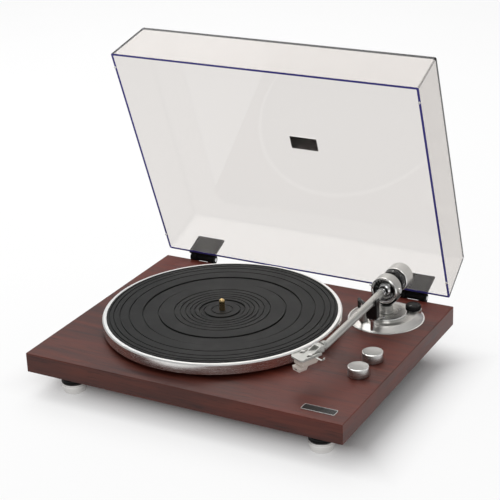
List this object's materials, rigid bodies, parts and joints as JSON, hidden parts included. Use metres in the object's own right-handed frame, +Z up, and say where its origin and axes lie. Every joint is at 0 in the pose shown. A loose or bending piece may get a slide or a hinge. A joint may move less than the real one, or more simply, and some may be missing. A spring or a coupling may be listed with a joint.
{
  "type": "record player",
  "caption": "Belt-driven record player on a wooden plinth, with turned feet, rubber-matted platter, balanced straight tonearm, two deck knobs and a hinged clear dust cover.",
  "frame": {"origin": "on the floor plane, below the middle of the whole player with its cover open", "axes": "+Z up, +X to the player's right seen from the front, +Y to its back"},
  "size_m": [0.42, 0.3932, 0.39],
  "materials": {
    "wood_veneer": "satin walnut veneer",
    "black_plastic": "matt black moulding",
    "black_gloss": "gloss black",
    "foot_rubber": "matt black rubber",
    "foot_metal": "turned satin aluminium",
    "felt": "black felt",
    "pan_black": "black moulded pan",
    "screw_steel": "zinc plated",
    "platter_metal": "polished rim",
    "mat_rubber": "dark grey rubber",
    "spindle_brass": "polished",
    "bearing_brass": "turned",
    "bush_bronze": "sintered bronze",
    "steel": "machined",
    "belt_rubber": "ground rubber",
    "grommet_rubber": "soft rubber",
    "base_metal": "spun aluminium",
    "arm_silver": "satin silver paint",
    "chrome": "polished",
    "tube_silver": "bead blasted",
    "weight_silver": "satin plated",
    "nylon": "natural nylon",
    "dial_black": "black with plain numbers",
    "shell_silver": "die-cast silver",
    "cartridge_grey": "light grey moulding",
    "knob_metal": "spun top",
    "badge_black": "black plate with silver edge",
    "board_green": "circuit board",
    "socket_metal": "gold plated",
    "acrylic": "clear acrylic",
    "clear_rubber": "clear bumper"
  },
  "bodies": {
    "base": {"plinth": "wood_veneer", "bottom_pan": "pan_black", "wood_screws": "screw_steel", "foot_isolators": "foot_rubber", "foot_cups": "foot_metal", "foot_pads": "felt", "foot_bolts": "steel", "bearing_housing": "bearing_brass", "bearing_bushes": "bush_bronze", "thrust_ball": "steel", "motor": "steel", "motor_plate": "steel", "motor_grommets": "grommet_rubber", "drive_belt": "belt_rubber", "arm_base": "base_metal", "arm_plate": "base_metal", "arm_pillar": "arm_silver", "arm_nut": "steel", "arm_rest_post": "chrome", "arm_rest_clip": "black_gloss", "cue_housing": "arm_silver", "deck_badge": "badge_black", "control_board": "board_green", "board_standoffs": "nylon", "socket_plate": "black_plastic", "phono_sockets": "socket_metal", "power_inlet": "black_plastic", "ground_post": "socket_metal", "rotary_switches": "black_plastic", "hinge_bases": "black_plastic", "hinge_pins": "steel", "hinge_screws": "screw_steel"},
    "platter": {"platter": "platter_metal", "platter_mat": "mat_rubber", "spindle": "spindle_brass"},
    "pulley": {"motor_pulley": "bearing_brass", "motor_shaft": "steel"},
    "cover": {"dust_cover": "acrylic", "hinge_leaves": "black_plastic", "cover_badge": "badge_black", "cover_bumpers": "clear_rubber"},
    "arm_carriage": {"yaw_shaft": "steel", "arm_yoke": "black_gloss", "gimbal_ring": "arm_silver", "pivot_screws": "arm_silver"},
    "arm": {"arm_hub": "chrome", "arm_tube": "tube_silver", "head_collar": "shell_silver", "headshell": "shell_silver", "cartridge": "cartridge_grey", "cartridge_screws": "screw_steel", "stylus_assembly": "cartridge_grey"},
    "weight_sleeve": {"weight_sleeve": "nylon"},
    "counterweight": {"counterweight": "weight_silver"},
    "force_dial": {"force_dial": "dial_black"},
    "cue_lever": {"cue_lever": "black_plastic"},
    "cue_lift": {"cue_lift": "black_gloss"},
    "antiskate_dial": {"antiskate_dial": "black_plastic"},
    "power_knob": {"power_knob": "knob_metal"},
    "speed_knob": {"speed_knob": "knob_metal"}
  },
  "joints": [
    {"name": "platter_spin", "type": "hinge", "parent": "base", "child": "platter", "pos_m": [-0.033, -0.02599, 0.07], "axis": [0, 0, -1], "continuous": true},
    {"name": "pulley_spin", "type": "hinge", "parent": "base", "child": "pulley", "pos_m": [-0.1037, 0.04471, 0.064], "axis": [0, 0, -1], "continuous": true},
    {"name": "cover_hinge", "type": "hinge", "parent": "base", "child": "cover", "pos_m": [0, 0.13691, 0.0611], "axis": [-1, 0, 0], "range_deg": [-70.26, 0]},
    {"name": "arm_swing", "type": "hinge", "parent": "base", "child": "arm_carriage", "pos_m": [0.146, 0.06891, 0.098], "axis": [0, 0, -1], "range_deg": [0, 45]},
    {"name": "arm_lift", "type": "hinge", "parent": "arm_carriage", "child": "arm", "pos_m": [0.146, 0.06891, 0.098], "axis": [-1, 0, 0], "range_deg": [0, 12]},
    {"name": "weight_turn", "type": "hinge", "parent": "weight_sleeve", "child": "counterweight", "pos_m": [0.146, 0.10541, 0.098], "axis": [0, 1, 0], "range_deg": [-360, 360]},
    {"name": "weight_travel", "type": "slide", "parent": "arm", "child": "weight_sleeve", "axis": [0, 1, 0], "range_m": [-0.002, 0.002]},
    {"name": "force_dial_turn", "type": "hinge", "parent": "counterweight", "child": "force_dial", "pos_m": [0.146, 0.09041, 0.098], "axis": [0, 1, 0], "continuous": true},
    {"name": "cue_lever_turn", "type": "hinge", "parent": "base", "child": "cue_lever", "pos_m": [0.12243, 0.03934, 0.072], "axis": [-1, 0, 0], "range_deg": [0, 40]},
    {"name": "cue_lift_slide", "type": "slide", "parent": "base", "child": "cue_lift", "axis": [0, 0, 1], "range_m": [0, 0.007]},
    {"name": "antiskate_turn", "type": "hinge", "parent": "base", "child": "antiskate_dial", "pos_m": [0.17161, 0.09407, 0.068], "axis": [0, 0, 1], "range_deg": [0, 270]},
    {"name": "power_turn", "type": "hinge", "parent": "base", "child": "power_knob", "pos_m": [0.1774, -0.04309, 0.064], "axis": [0, 0, -1], "range_deg": [0, 60]},
    {"name": "speed_turn", "type": "hinge", "parent": "base", "child": "speed_knob", "pos_m": [0.1774, -0.08359, 0.064], "axis": [0, 0, -1], "range_deg": [0, 60]}
  ],
  "couplings": [
    {"joint": "pulley_spin", "follows": "platter_spin", "ratio": 7.3158},
    {"joint": "weight_travel", "follows": "weight_turn", "m_per_rad": 0.0003183},
    {"joint": "cue_lift_slide", "follows": "cue_lever_turn", "m_per_rad": 0.010026}
  ]
}
